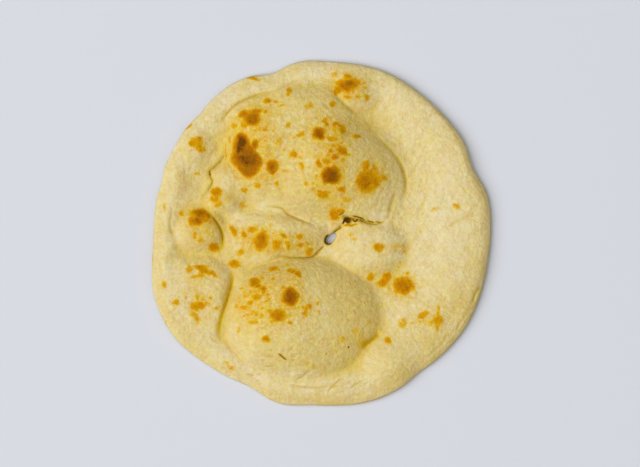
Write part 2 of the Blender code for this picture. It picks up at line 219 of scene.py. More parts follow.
# The ragged tear right of the hole, and the small cracks and pricks elsewhere.
RIPS = (
    # the pit and its sides
    fine(2.4, 3.4, 0.2, (18.6, 11), (18, 9), (16.6, 7.2)),
    fine(0.6, 1.2, 0, (16.6, 10.4), (15.5, 7.8), (14.3, 5.4)),
    # the lips and the strands
    fine(0.5, 0.8, 0.2, (18.3, 12), (21.7, 11.6), (25, 10.9), (27.7, 10), (29.3, 8.4), (31.3, 6.7)),
    fine(0.5, 0.9, 0.1, (20, 10.6), (21.6, 9), (23.2, 8), (24.5, 9.2), (25.8, 10.4)),
    fine(0.5, 0.5, 0.1, (29, 7.4), (32.5, 6.6), (35.7, 6), (39.5, 6.8), (42.5, 8.2), (43.7, 10)),
    fine(0.4, 0.8, 0, (30.3, 9), (32.2, 8.2), (34.5, 7.6), (36.2, 6.2)),
    fine(0.4, 0.8, 0, (26.2, 10.8), (26.8, 8.8), (28.8, 7.4)),
    fine(0.4, 0.7, 0, (36.5, 8), (38.5, 7.6), (40.5, 7.2)),
    # left of the pit
    fine(0.5, 1.4, 0.2, (12.4, 12.2), (14.2, 13.2), (16.6, 15.2)),
    fine(0.4, 0.8, 0.1, (11.2, 14.2), (13, 15), (15, 14.8)),
    fine(0.4, 0.7, 0.1, (7, -0.6), (10, 1.5), (13, 3.5), (14.5, 5.2)),
    # elsewhere
    fine(0.5, 0.9, 0.2, (-28.5, -79), (-25.5, -81.2), (-21.5, -84.2)),
    fine(0.3, 0.6, 0, (-27, -80.5), (-24.5, -82.8), (-23, -83.8)),
    fine(0.5, 0.9, 0, (-74.2, 41.8), (-73.5, 39.8), (-73.2, 37.8)),
    fine(0.6, 1.1, 0, (18, -74.8), (18.6, -75.4), (19.4, -75.8)),
    fine(0.4, 0.8, 0, (3.2, -79.3), (3.8, -79.8), (4.4, -80)),
    fine(0.3, 0.5, 0, (29, -45), (29.8, -46), (30.2, -47)),
    fine(0.4, 0.6, 0, (-100.4, 45.4), (-100, 44.8), (-99.6, 44.2)),
)

# Patches with something strewn over them, in millimetres and degrees.
Patch = namedtuple("Patch", "x y half_width half_height count direction", defaults=(0,))

# Short fine creases, each patch with the direction that they turn from.
CREASE_PATCHES = (
    (-26, -84, 17, 9, 30, 4), (20, -100, 14, 7, 18, 32), (-50, -95, 16, 6, 10, -25),
    (-64, 68, 3, 14, 12, 80), (-36, -24, 18, 6, 14, 20), (-5, -70, 14, 8, 14, 12),
    (66, 35, 8, 28, 14, 78), (50, 10, 5, 13, 12, 78), (-20, 33, 16, 10, 18, -50),
    (88, -48, 10, 16, 14, 55), (-72, 34, 8, 14, 12, 70),
)
CREASE_SEED = 5
CREASE_TURN = 22  # degrees to either side of a patch's direction
CREASE_HALF_LENGTHS = (0.0012, 0.0042)
CREASE_HALF_WIDTHS = (0.0003, 0.0006)
CREASE_DEPTH = 0.0004
CREASE_STAIN = 0.35

GRAIN = (Unevenness(0.0045, 0.00020, 7), Unevenness(0.0026, 0.00018, 5), Unevenness(0.0015, 0.00010, 6))
BLISTER_RISE = 0.0004
THINNEST = 0.0012  # of the dough at the bottom of a rip

SEGMENTS = 560
TOP_RINGS = 148
UNDERSIDE_RINGS = 24
EDGE_CROWDING = 0.6

# ---- burns and stains

# Stains, in millimetres and degrees: x, y, half-width, half-height, tone, and turn where it is turned.
Stain = namedtuple("Stain", "x y half_width half_height tone turn", defaults=(0,))

# Burns of the top skin. A tone of 0.3 is a pale gold stain, 0.5 golden, 0.7 light brown and 1 dark brown.
BURNS = (
    # the left lobe of the upper dome
    (-52.4, 57.6, 6.2, 8.2, 0.84), (-48.2, 47.8, 9.2, 11.4, 0.82, 22), (-54, 51, 5.4, 9, 0.82),
    (-52.4, 57.8, 5.4, 8.2, 0.96), (-48.2, 48.8, 8, 7.8, 0.93, 20), (-52.4, 59.8, 4.5, 6.3, 1.08, -8),
    (-54.4, 55.4, 2.4, 5.2, 1.03), (-51, 49.6, 5.4, 5.2, 0.99, 20), (-48.6, 47.2, 6.6, 4.2, 0.98, -15),
    (-43.4, 58.6, 3.2, 3.8, 0.84), (-45.7, 75.5, 6.2, 5.2, 0.84), (-50.5, 79, 3.2, 2.8, 0.74, 20),
    (-43, 81, 4.6, 2.2, 0.64), (-36, 80, 1.8, 1.2, 0.5), (-51, 71, 2.8, 1.2, 0.55),
    (-57, 71, 1.8, 2.6, 0.46), (-36, 88, 2.8, 2.4, 0.56), (-30, 88, 1.8, 1.1, 0.46),
    (-26, 84, 3, 0.9, 0.38), (-21, 94, 1.8, 2.6, 0.54), (-32, 44, 4.4, 4.7, 0.78),
    (-32, 44, 2.6, 2.8, 0.86), (-24, 41, 2.8, 1.3, 0.42), (-18, 52, 2.8, 2.1, 0.54),
    (-13, 44, 1.8, 3.2, 0.54, 25), (-13, 65, 2.8, 1.6, 0.52), (-28, 60, 3, 3, 0.34),
    # the right lobe of the upper dome, and the tear
    (-1, 66, 4.8, 5.2, 0.9), (3, 75, 2, 1.6, 0.48), (10, 72, 2.4, 1.7, 0.56),
    (14, 69, 2.3, 3.2, 0.58, 25), (8, 63, 4, 1.7, 0.52), (23, 64, 3.2, 1.6, 0.46),
    (14, 55, 4.6, 2.6, 0.68, -30), (6, 55, 1.7, 1.7, 0.52), (9, 51, 2.6, 2.3, 0.66),
    (4, 48, 2.3, 2, 0.54), (-1, 46, 2, 4, 0.58), (14, 48, 2, 2, 0.38), (8.5, 58.6, 2.2, 1.2, 0.44, 10),
    (4.6, 52.2, 1.6, 1, 0.4), (11.6, 58.8, 1.6, 1.2, 0.46), (18.4, 52.4, 1.8, 2.2, 0.46, -30),
    (7, 38.5, 7.4, 6.6, 0.94), (13.5, 29, 3.2, 2, 0.62), (2, 26, 4.6, 2.8, 0.58),
    (-4, 29, 1.7, 1.2, 0.46), (-9, 33, 1.4, 1.4, 0.42), (-5, 33, 1.3, 1.3, 0.4), (17, 23, 3.2, 2, 0.36),
    (31.2, 35, 8, 8.2, 0.55), (29.5, 34, 5.4, 6, 0.75), (29.5, 45, 2.6, 4, 0.54),
    (40, 37, 4.4, 2.2, 0.46), (35, 43, 2, 2.4, 0.42), (-7, 84, 3, 2.4, 0.36), (8, 86, 2.4, 2.1, 0.56),
    (9, 12.5, 3.4, 4.6, 0.66, 10), (13, 15, 3, 1.4, 0.5), (20, 6, 6, 0.9, 0.56),
    # the foot of the upper dome
    (-29, 33, 1.4, 2.4, 0.46), (-42, 32, 2.8, 1.7, 0.48), (-51, 28, 2.4, 1.4, 0.44, -35),
    (-63, 54, 0.8, 6, 0.5), (-60, 62, 0.9, 2.6, 0.46), (-52, 19, 2.8, 2, 0.32),
    # the small bubble at the top
    (17.5, 98.5, 9, 4.8, 0.72, 8), (18.5, 99.8, 4.8, 3.2, 0.88), (11, 95, 2.8, 4, 0.6, -20),
    (15.6, 97, 6, 3.4, 0.76, -12), (17, 103.6, 3.2, 1.8, 0.58), (8.6, 105.6, 2.2, 1.8, 0.38),
    (17, 91, 2.2, 1.3, 0.5), (25, 91, 2, 1.2, 0.48), (30, 90, 1.8, 1.4, 0.46),
    # the west rim and its small bubbles
    (-82.5, 60.5, 4.6, 4.2, 0.44), (-79, 56, 3.4, 3, 0.46), (-85, 60, 2.2, 2.2, 0.56),
    (-81, 63, 2, 1.6, 0.52), (-80, 58, 1.6, 1.6, 0.58), (-82, 40, 2, 1.5, 0.4), (-69, 27, 4, 3, 0.64, 15),
    (-70, 23, 3, 2.6, 0.54), (-68, 19, 3, 2, 0.42), (-81, 13.8, 6, 3, 0.8, -8), (-85, 9, 3, 4, 0.58),
    (-81.5, 9, 4, 4, 0.84), (-76, 11, 3, 3.4, 0.64), (-92, 13, 2, 2.4, 0.46), (-84, 0, 1.6, 2, 0.38),
    (-80, -4, 2.6, 1.8, 0.42), (-71, -9.6, 3.4, 3.6, 0.6), (-103, 17, 1, 2.2, 0.4),
    (-71.5, 4, 1.4, 9, 0.24, 8), (-69, 12, 3, 1.4, 0.22, -50),
    # the middle bubble, left of the hole
    (-58, 1.5, 2.3, 4.2, 0.58, 30), (-50, -1, 2.4, 2.4, 0.6), (-45, 2.5, 3.4, 2, 0.5),
    (-40, -5.3, 5.6, 6, 0.72), (-39.4, -4.6, 5.4, 5.4, 0.72), (-38.8, -3.8, 3.4, 3.6, 0.76),
    (-53, -12, 3, 2.7, 0.50), (-57, -20, 4.2, 3, 0.60), (-24, -1, 2.8, 1.8, 0.56, -30),
    (-29.2, -7.8, 3.2, 4.2, 0.54, -20), (-34.3, 9.7, 2.8, 1.7, 0.24), (-22, -8, 1.7, 4, 0.52),
    (-14, -2, 2.4, 1.8, 0.46), (-14, -8, 3, 1.5, 0.54), (-8, -12, 2.6, 3.6, 0.54, -40),
    # the middle bubble, right of the hole
    (22, -4, 2.4, 1.4, 0.32), (20, 0, 2.4, 1.4, 0.28), (38.3, -9.4, 3.6, 3.5, 0.56),
    (40.1, -16, 0.9, 4.6, 0.18), (52, -8.5, 5, 2, 0.28, -8), (55.5, -12, 2.4, 2.8, 0.26),
    (34, -29, 2.7, 2.4, 0.58), (44, -29, 3.2, 3.2, 0.6), (42.4, -31.4, 2.4, 3.4, 0.58, -35),
    (40, -33, 2.6, 2.4, 0.54), (55, -35, 6.8, 6.4, 0.72),
    # the lower dome
    (-31, -24, 3.3, 2, 0.54), (-22, -21, 2, 1, 0.36), (-19, -25, 3.3, 1.7, 0.56),
    (-15, -27, 2.4, 1.7, 0.58, -20), (-43.4, -32.6, 4, 2.8, 0.74, 30), (-42, -35, 3, 2.2, 0.66, -10),
    (-37.6, -36.2, 1.9, 2.7, 0.6), (-43, -42, 3.4, 2.3, 0.5), (-47, -46, 2.4, 2, 0.56, 30),
    (-50, -49, 1.3, 1.3, 0.5), (-56, -48, 1.2, 2.4, 0.44), (-20, -42, 6.7, 6.4, 0.91),
    (-25, -36, 1.4, 1.4, 0.5), (-28, -54, 5.7, 4.4, 0.68), (-33, -52, 2.2, 1.8, 0.55),
    (-39, -54, 1.8, 1.9, 0.5), (-32, -58, 1.5, 1.1, 0.42), (-45, -58, 2.1, 1.4, 0.42),
    (-20, -58, 2.2, 1.1, 0.42), (-8, -49, 2.8, 1.7, 0.46), (-10, -52, 1.4, 3.4, 0.46),
    (-2, -46, 1.3, 1.8, 0.4), (-1, -53, 1.2, 2, 0.36), (-36, -70, 3.2, 2.7, 0.68, -20),
    (14, -70, 2.8, 2, 0.34), (23, -65, 2.2, 2.7, 0.28), (-54, -64, 1, 2.4, 0.4),
    (-62, -86, 2.2, 1.4, 0.28), (-58.5, -88.5, 2.6, 1.6, 0.32, -30), (-10.3, -85.7, 2.8, 2, 0.19, -20),
    (-4.3, -88.3, 3, 2, 0.2), (0.8, -91.3, 2, 2.6, 0.18),
    # the south-east rim
    (78.4, -57.6, 3.2, 5, 0.52), (77.8, -62, 1.7, 3.2, 0.38), (78.2, -51.6, 1.3, 4.6, 0.36, -6),
    (73.6, -59.2, 3.2, 1.7, 0.34), (68.2, -53.8, 4.2, 2.6, 0.46, 35), (67, -59, 3.4, 1.4, 0.34, 10),
    (54, -59, 2.6, 3, 0.36), (45, -71, 2.4, 2.6, 0.54), (91, 18, 2.4, 2.6, 0.36), (76, 16, 3, 2, 0.3, 30),
    # the lower left puff
    (-87, -24, 1.5, 3.2, 0.44), (-79.6, -22.4, 5.6, 2, 0.58, 4), (-76.6, -24.8, 4.6, 2.3, 0.62, -25),
    (-70.8, -26.6, 4, 1.3, 0.5, -32), (-79.2, -28, 2.6, 1.6, 0.52),
    (-83.3, -29.3, 3.8, 1.4, 0.42, 12), (-82, -48, 5, 3.4, 0.56), (-82, -42, 1.4, 2.2, 0.42),
    (-76, -46, 3.4, 1.2, 0.38), (-82, -56, 2, 3.8, 0.42, 25), (-86, -53, 2.6, 1.8, 0.36, 30),
    (-96, -46, 2.8, 2, 0.48, 20), (-104, -34, 1.8, 2, 0.38),
    # the edge of the rim
    (-44, 103, 3.4, 1, 0.54, -12), (-88, 71, 3.6, 0.8, 0.56, 40), (-112, -16, 0.7, 2.2, 0.42),
    (-103, -61, 1, 3.4, 0.42, -25),
)

OUTLINE_TONE = 0.34  # the tone at the outline of a full burn
PLATEAU = 3.0  # how flat a burn's tone is inside its outline
PLATEAU_GROWTH = 3  # the power by which broader burns are flatter
WIDE_BURN = 4.4  # millimetres: the half-size from which they are
FRINGE = 0.0019  # how far a burn's stain runs out beyond its outline
RAGGEDNESS = (Unevenness(0.0060, 0.0009, 21), Unevenness(0.0026, 0.0006, 22))

# Small burns strewn between the others, with a half-height, and a half-width as a share of it.
FLECK_PATCHES = (
    (-44, 66, 13, 18, 44), (-24, 62, 14, 22, 22), (9, 61, 13, 16, 40), (6, 32, 13, 9, 20),
    (-45, -44, 10, 14, 70), (-28, -44, 22, 20, 46), (-18, -4, 15, 8, 20), (-44, 1, 14, 6, 8),
    (-82, 6, 12, 14, 14), (-78, -38, 14, 20, 14), (48, -30, 18, 16, 10), (70, -58, 12, 6, 10),
    (36, -61, 5, 6, 5), (20, 95, 12, 8, 12), (10, -80, 24, 10, 5), (-44, -46, 9, 12, 30),
    (-46, 62, 11, 16, 24),
)
FLECK_SEED = 11
FLECK_SIZES = (0.4, 1.4)  # millimetres
FLECK_ASPECTS = (0.7, 1.5)
FLECK_TURNS = (-90, 90)  # degrees
FLECK_TONES = (0.16, 0.48)

# Broad tan stains, partly painted shade on flanks that face away from the light; pale floury patches; and
# golden stains, mostly painted shade, with gold round three faint burns.
TANS_AND_SHADE = (
    (24, -50, 15, 26, 0.95, 25), (16, -74, 20, 10, 0.7, 20), (30, -66, 7, 6, 0.8),
    (38, 60, 8, 26, 0.15, 32), (46, 38, 8, 14, 0.2, 10), (-2, 30, 30, 8, 0.35), (-88, 22, 8, 20, 0.25),
    (-94, -18, 10, 14, 0.3), (-6, -5, 8, 6, 0.7), (-80, 2, 9, 9, 0.6), (26, -74, 6, 6, 0.9),
    (13, -84, 12, 5, 0.5, 20), (-60, -24, 5, 4, 0.4), (36, -56, 8, 15, 0.8, 8),
    (-64, 47, 5, 10, 0.5, -35), (52, -92, 14, 8, 0.6, 30), (76, -72, 14, 10, 0.7, 45),
    (93, -48, 14, 9, 0.7, 62), (101, -26, 12, 6, 0.5, 80), (10, -112, 36, 5, 0.35),
    (-94, -62, 28, 4, 0.3, -55), (-113, -10, 4, 26, 0.5), (18, -87, 10, 7, 0.8),
)
FLOURS = (
    (38, 12.5, 5, 2.2, 0.8, -10), (-71, 50, 4, 5, 0.25), (-78, 30, 6, 8, 0.4), (-93, 30, 5, 14, 0.2),
    (50, -12, 6, 8, 0.4), (-57, 12, 6, 4, 0.5), (53, 90, 14, 10, 0.2, -40), (85, 10, 12, 30, 0.4),
    (-10, 104, 24, 5, 0.2), (-46, -81, 16, 9, 0.5, -32), (-22, -94, 26, 6, 0.55, -4),
    (30, -98, 12, 4, 0.35, 25), (-36, 17, 7, 5, 0.3), (48, -2, 9, 6, 0.35), (38, 12, 6, 3, 0.6, -10),
    (-62, -22, 3, 6, 0.4), (-64, 88, 10, 8, 0.35), (-10, -33, 8, 5, 0.3), (-59, -68, 5, 10, 0.5, 10),
    (-56, -34, 4, 8, 0.45), (-60.5, -52, 2.5, 8, 0.35, -12),
)
# mostly painted shade, in shaded hollows on the west and by the lower right fold, with gold round three faint
# burns
GOLDS_AND_SHADE = (
    (28.5, -73, 5, 4.5, 0.6), (24, -66.5, 4, 5, 0.34), (26.5, -80, 3, 6, 0.26), (13, -70, 5, 4, 0.22),
    (-92.5, 36, 6, 13, 0.22), (-61, 24, 7, 5, 0.33), (-74, 50, 4, 7, 0.15),
    (-10.3, -85.7, 4, 2.6, 0.2, -20), (-4.3, -88.3, 4, 2.6, 0.22), (0.8, -91.3, 3, 3.6, 0.18),
)

# Tints that follow the form. Hollows, where the skin lies below itself blurred over many rounds, and valleys,
# blurred over fewer, get painted shade; steep flanks get a tint that is partly painted shade.
VALLEY_ROUNDS = 30
VALLEY_DEPTH = 0.0007
HOLLOW_ROUNDS = 300
HOLLOW_DEPTH = 0.0030
GLOW_ROUNDS = 120
BAKED_HEIGHTS = (0.007, 0.017)  # from pale dough to a dome's golden skin
BAKED_SHARE = 0.75
# the tint of steep flanks is partly a golden bake and partly painted shade
FLANK_SLOPES = (0.12, 0.60)
FLANK_SHARE = 0.55
SHORTEST_RUN = 0.00001  # over which a slope is measured
PALE_EDGE_WIDTH = 0.0060

# Stains along the folds: a golden colour, with painted shade that grows with a groove's depth. Their widths
# are in half-widths of the fold.
GOLDEN_FOLDS = ("lower_left", "west_round_right", "lower_right")
FOLD_STAIN_DEPTH = 0.0015  # of a fold that is stained in full
FOLD_STAIN_WIDTH = 0.95
WRINKLE_STAIN_WIDTH = 0.75
# painted shade in a band beside every fold, stronger beside deeper folds
FOLD_HALO_WIDTH = 3.0
FOLD_HALO_SHADE = 0.45
RIP_STAIN_DEPTH = 0.0010
RIP_STAIN_WIDTH = 1.3

# Painted shade at the edges, on the side whose rounding faces away from the key lamp: how strong, how wide,
# and the direction of the shaded side, in degrees.
HOLE_SHADE = 0.8
HOLE_SHADE_WIDTH = 0.0016
HOLE_SHADE_DIRECTION = 200
HOLE_SHADE_ROUND = 0.4  # how far the painted shade reaches round the hole, past its shaded side
HOLE_SHADE_STEEPNESS = 4  # 2 is a bell curve, and more ends sooner
EDGE_SHADE = 0.3
EDGE_SHADE_WIDTH = 0.0012
EDGE_SHADE_DIRECTION = -35

# ---- colours, as albedo in linear light

FLOUR = (0.820, 0.725, 0.490, 1)
DOUGH_PALE = (0.765, 0.665, 0.405, 1)
DOUGH = (0.755, 0.635, 0.335, 1)
BAKED = (0.720, 0.560, 0.175, 1)
SCORCHED = (0.720, 0.480, 0.060, 1)
FLECK = (0.680, 0.390, 0.012, 1)
MOTTLE_DARK = (0.640, 0.490, 0.120, 1)
MOTTLE_PALE = (0.840, 0.750, 0.450, 1)
MOTTLE_TOASTED = (0.660, 0.430, 0.060, 1)
OLIVE = (0.530, 0.430, 0.070, 1)
# painted shade: a darker warm gold for valleys, hollows and the bands beside the folds
VALLEY_SHADE = (0.680, 0.510, 0.110, 1)
# golden fold colour, partly painted shade
CREASE = (0.650, 0.425, 0.018, 1)
WRINKLE = (0.590, 0.425, 0.078, 1)
# painted shade: the dark core of the deepest folds and wrinkles
CREASE_DEEP = (0.300, 0.190, 0.005, 1)
# partly the golden bake of steep flanks, partly painted shade
FLANK = (0.660, 0.485, 0.120, 1)
# brown of torn edges, and painted shade deep in the pit and at the hole
RIP = (0.120, 0.052, 0.003, 1)
# tan of the dough, and painted shade on flanks that face away from the light
TAN_AND_SHADE = (0.640, 0.465, 0.105, 1)
TOAST_COLOURS = (
    (0.12, (0.730, 0.550, 0.140, 1)),
    (0.26, (0.710, 0.450, 0.035, 1)),
    (0.38, (0.670, 0.355, 0.004, 1)),
    (0.52, (0.610, 0.285, 0.001, 1)),
    (0.66, (0.510, 0.215, 0.001, 1)),
    (0.80, (0.395, 0.150, 0.001, 1)),
    (0.92, (0.275, 0.095, 0.001, 1)),
    (1.00, (0.140, 0.046, 0.002, 1)),
)
FLOOR_COLOUR = (0.650, 0.680, 0.765, 1)
FLOOR_ROUGHNESS = 0.6
FLOOR_SPECULAR = 0.2
DOUGH_SPECULAR = 0.04
PUCKER_RISE = 0.0011  # of the finest relief

# ---- how the dough and the burns are tinted

Noise = namedtuple("Noise", "cell detail roughness distortion", defaults=(2.0, 0.5, 0.0))
NOISES = {
    "broad": Noise(0.022, 3.0),
    "patch": Noise(0.0075),
    "fine": Noise(0.0035, 4.0, 0.65),
    "speckle": Noise(0.0014, 2.0, 0.6),
    "mottle": Noise(0.0022, 4.0, 0.65, 0.3),
    "edge": Noise(0.0032),
    "fray": Noise(0.0013, 3.0, 0.6),
    "scorch": Noise(0.013, 4.0, 0.6),
    "hue": Noise(0.005, 3.0, 0.6),
    "pucker": Noise(0.0028, 5.0, 0.62, 0.4),
}
FRECKLE_CELL = 0.0044
FRECKLE_RADII = (0.42, 0.10)  # of a cell: where a freckle starts, and where it is full
FRECKLED = 0.45  # share of the cells with a freckle

# A reading is a noise's or a field's name, alone or with the two values between which it eases from
# 0 to 1, and then the two values that it eases between where they are others.
FINE_PATCHES = ("fine", 0.36, 0.64, 0.35, 1.35)

# Tints of the dough, laid over each other in this order: a colour, and readings whose product is its share.
TINTS = (
    (DOUGH_PALE, ("broad", 0.35, 0.7)),
    (BAKED, ("patch", 0.42, 0.62, 0, 0.42)),
    (BAKED, ("fine", 0.4, 0.62, 0, 0.25)),
    # tan, partly painted shade
    (TAN_AND_SHADE, ("tan",)),
    # partly painted shade on steep flanks
    (FLANK, ("flank",)),
    (FLOUR, ("flour",)),
    (BAKED, ("baked",), FINE_PATCHES),
    (SCORCHED, ("glow", 0, 0.28, 0, 0.85), FINE_PATCHES),
    (MOTTLE_PALE, ("mottle", 0.5, 0.34, 0, 0.32)),
    (MOTTLE_DARK, ("mottle", 0.5, 0.66, 0, 0.35)),
    (MOTTLE_TOASTED, ("mottle", 0.46, 0.62), ("glow", 0.04, 0.25, 0, 0.7)),
    (OLIVE, ("freckle",), ("glow", 0, 0.2, 0.1, 0.65)),
    (FLECK, ("speckle", 0.5, 0.68), ("glow", 0.05, 0.35, 0, 0.9)),
    # painted shade in hollows and valleys
    (VALLEY_SHADE, ("hollow_shade", 0.1, 1, 0, 0.35)),
    (VALLEY_SHADE, ("valley_shade", 0.1, 1, 0, 0.6)),
    # painted shade beside the folds
    (VALLEY_SHADE, ("halo_shade",)),
    (WRINKLE, ("wrinkle", 0, 0.6)),
    (CREASE, ("fold_or_rip", 0, 0.6)),
    # painted shade in the deepest grooves
    (CREASE_DEEP, ("fold_or_wrinkle", 0.5, 1, 0, 0.8)),
    (RIP, ("rip", 0.2, 0.85)),
)

# Toast is shifted at the burns' outlines, frayed most at middling tones, and the underside is scorched.
EDGE_SHIFT = ("edge", 0.3, 0.7, -0.06, 0.06)
FRAY_SHIFT = ("fray", 0.3, 0.7, -0.08, 0.08)
SHIFTED = (("toast", 0, 0.25), ("toast", 0.5, 0.9, 1, 0.5))
SCORCHED_UNDERSIDE = (("underside",), ("scorch", 0.5, 0.72, 0, 0.75))
TOAST_SHOWS = (0.05, 0.36)  # the toast at which a burn's colour starts to cover the dough's, and covers it
ROUGHNESS = (0.2, 0.9, 0.85, 0.7)  # from the first toast to the second, and what they give
HUE_DRIFT = ("hue", 0.25, 0.75, 0.488, 0.511)  # from rosier to greener; 0.5 leaves a colour as it is

# ---- map, floor, light and camera

BAKE_MAP = "OFBake"
TOP_CHART = (0.385, 0.385, 0.375)  # centre and radius
UNDERSIDE_CHART = (0.79, 0.79, 0.19)
HOLE_SHARE = 0.04  # of a chart's radius

FLOOR_SIZE = 6.0
Lamp = namedtuple("Lamp", "name azimuth elevation distance size light colour")
LAMPS = (
    Lamp("key", 184, 50, 8.0, 7.3, 3.12, (1.0, 0.995, 0.985)),
    Lamp("overhead", 90, 85, 6.0, 4.4, 0.50, (1.0, 1.0, 1.0)),
    Lamp("fill", -20, 50, 6.0, 4.0, 0.43, (1.0, 0.94, 0.80)),
)
SKY_COLOUR = (1.0, 0.96, 0.86, 1)
SKY_STRENGTH = 0.205

FRAME_WIDTH = 0.4267  # metres across the picture at the bread
SENSOR_WIDTH = 36  # millimetres
CAMERA_HEIGHT = 2.0
CAMERA_OVER = (-0.0009, -0.0003)


# ---- curves and noise

def curve_through(values, place, closed):
    """Height at `place`, counted in values, of the Catmull-Rom curve through evenly spaced values."""
    values = np.asarray(values, dtype=float)
    step = np.floor(place).astype(int)
    part = place - step
    count = len(values)

    def value(shift):
        index = step + shift
        return values[index % count if closed else np.clip(index, 0, count - 1)]

    before, start, end, after = value(-1), value(0), value(1), value(2)
    slope = end - before
    bend = 2 * before - 5 * start + 4 * end - after
    twist = 3 * start - before - 3 * end + after
    return start + 0.5 * part * (slope + part * (bend + part * twist))


def around(values, angle):
    """The value in the direction `angle` of sizes listed around a centre."""
    return curve_through(values, np.mod(angle, tau) / tau * len(values), True)


def ease(part):
    """0 to 1 with a level start and end."""
    part = np.clip(part, 0, 1)
    return part * part * (3 - 2 * part)


def rounded_edge(inset, reach):
    """Height, 0 to 1, of a rounded edge at a distance from it."""
    left = 1 - np.clip(inset / reach, 0, 1)
    return (1 - left ** EDGE_FULLNESS) ** (1 / EDGE_FULLNESS)


def outline_radius(angle):
    radius = np.full_like(angle, RADIUS)
    for lump in RIM_LUMPS:
        turn = np.degrees(np.angle(np.exp(1j * (angle - radians(lump.direction)))))
        radius += lump.out * np.exp(-((turn / lump.half_width) ** 2))
    return radius


def uneven(x, y, layer):
    """Smooth seeded noise with the layer's cell size and height."""
    table = np.random.default_rng(layer.seed).uniform(-1, 1, (LATTICE_SIZE, LATTICE_SIZE))
    u = x / layer.cell
    v = y / layer.cell
    column = np.floor(u).astype(int)
    row = np.floor(v).astype(int)
    across = ease(u - column)
    along = ease(v - row)

    def at(columns, rows):
        return table[columns % LATTICE_SIZE, rows % LATTICE_SIZE]

    low = at(column, row) * (1 - across) + at(column + 1, row) * across
    high = at(column, row + 1) * (1 - across) + at(column + 1, row + 1) * across
    return layer.height * (low * (1 - along) + high * along)


def melted_max(a, b, melt):
    """The higher of two surfaces, rounded over `melt` where they meet."""
    overlap = np.clip(1 - np.abs(a - b) / melt, 0, 1)
    return np.maximum(a, b) + overlap * overlap * melt / 4


def bubble_height(x, y, bubble):
    """Height of a bubble's skin, which sinks below the sheet outside its foot."""
    dx = x - bubble.x
    dy = y - bubble.y
    away = np.hypot(dx, dy)
    mean = sum(bubble.reach) / len(bubble.reach)
    foot = around(bubble.reach, np.arctan2(dy, dx))
    rounded_foot = mean + (foot - mean) * ease(away / foot)
    return FOOT + (bubble.crown - FOOT) * (1 - (away / rounded_foot) ** bubble.shoulder)


def line_distance(x, y, line):
    """Distance to the smooth curve through a line's points, and the share of its length passed there."""
    line = np.array(line)
    place = np.linspace(0, len(line) - 1, FOLD_SAMPLES)
    path = np.stack([curve_through(line[:, axis], place, False) for axis in (0, 1)], axis=1)
    distance = np.full(x.shape, np.inf)
    share = np.zeros(x.shape)
    for index in range(FOLD_SAMPLES - 1):
        start = path[index]
        step = path[index + 1] - start
        part = np.clip(((x - start[0]) * step[0] + (y - start[1]) * step[1]) / (step @ step), 0, 1)
        gap = np.hypot(x - start[0] - part * step[0], y - start[1] - part * step[1])
        nearer = gap < distance
        distance[nearer] = gap[nearer]
        share[nearer] = (index + part[nearer]) / (FOLD_SAMPLES - 1)
    return distance, share


def fold_fade(share):
    """1 along a fold, running out to 0 at both ends."""
    return ease(np.minimum(share, 1 - share) / FADE)


def fold_relief(x, y, fold):
    """Groove of a fold, with a bead on either side, running out at both ends."""
    distance, share = line_distance(x, y, fold.line)
    spread = distance / fold.half_width
    groove = fold.depth * np.exp(-(spread ** GROOVE_ROUNDNESS))
    bead = fold.bead * np.exp(-((spread - BEAD_OFFSET) ** 2))
    return (bead - groove) * fold_fade(share)


def strewn_place(draw, patch):
    """A place in a patch, in millimetres, drawn evenly over its ellipse."""
    angle = draw.uniform(0, tau)
    out = sqrt(draw.uniform(0, 1))
    return patch.x + patch.half_width * out * cos(angle), patch.y + patch.half_height * out * sin(angle)


def turned_about(x, y, left, up, turn):
    """Distances along and across a direction from a centre, which is given in millimetres."""
    turned = (x - left * MM + 1j * (y - up * MM)) * np.exp(-1j * radians(turn))
    return turned.real, turned.imag


def strewn_creases(x, y):
    """How deep in a short straight crease each point is, 0 to 1, from a set seed."""
    draw = np.random.default_rng(CREASE_SEED)
    field = np.zeros_like(x)
    for patch in (Patch(*row) for row in CREASE_PATCHES):
        for _ in range(patch.count):
            left, up = strewn_place(draw, patch)
            turn = patch.direction + draw.uniform(-CREASE_TURN, CREASE_TURN)
            along, across = turned_about(x, y, left, up, turn)
            along = along / draw.uniform(*CREASE_HALF_LENGTHS)
            across = across / draw.uniform(*CREASE_HALF_WIDTHS)
            field = np.maximum(field, np.clip(1 - along ** 2, 0, 1) * np.exp(-(across ** 2)))
    return field


def hole_edge(x, y):
    """How far the rounding of the hole's edge reaches, towards each point."""
    return around(HOLE_EDGE, np.arctan2(y - HOLE_CENTRE[1], x - HOLE_CENTRE[0]))


def top_height(x, y, rim_inset, hole_inset, toast):
    """Height of the top skin at points given with their distances from the rim and from the hole."""
    angle = np.arctan2(y, x)
    crest = np.exp(-(((rim_inset - around(CREST_INSET, angle)) / around(RIM_HALF_WIDTH, angle)) ** 2))
    height = SHEET + (around(RIM_CREST, angle) - SHEET) * crest
    for layer in SHEET_UNEVENNESS:
        height += uneven(x, y, layer)
    for bubble in BUBBLES:
        height = melted_max(height, bubble_height(x, y, bubble), bubble.melt)
    for layer in SKIN_UNEVENNESS + GRAIN:
        height += uneven(x, y, layer)
    for fold in FOLDS + WRINKLES + RIPS:
        height += fold_relief(x, y, fold)
    height += BLISTER_RISE * ease(toast)
    height -= CREASE_DEPTH * strewn_creases(x, y)
    height -= FUNNEL_DEPTH * np.exp(-((hole_inset / FUNNEL_REACH) ** 2))
    height = np.maximum(height, THINNEST)
    waist = around(WAIST, angle)
    height = waist + (height - waist) * rounded_edge(rim_inset, around(EDGE_REACH, angle))
    return HOLE_WAIST + (height - HOLE_WAIST) * rounded_edge(hole_inset, hole_edge(x, y))


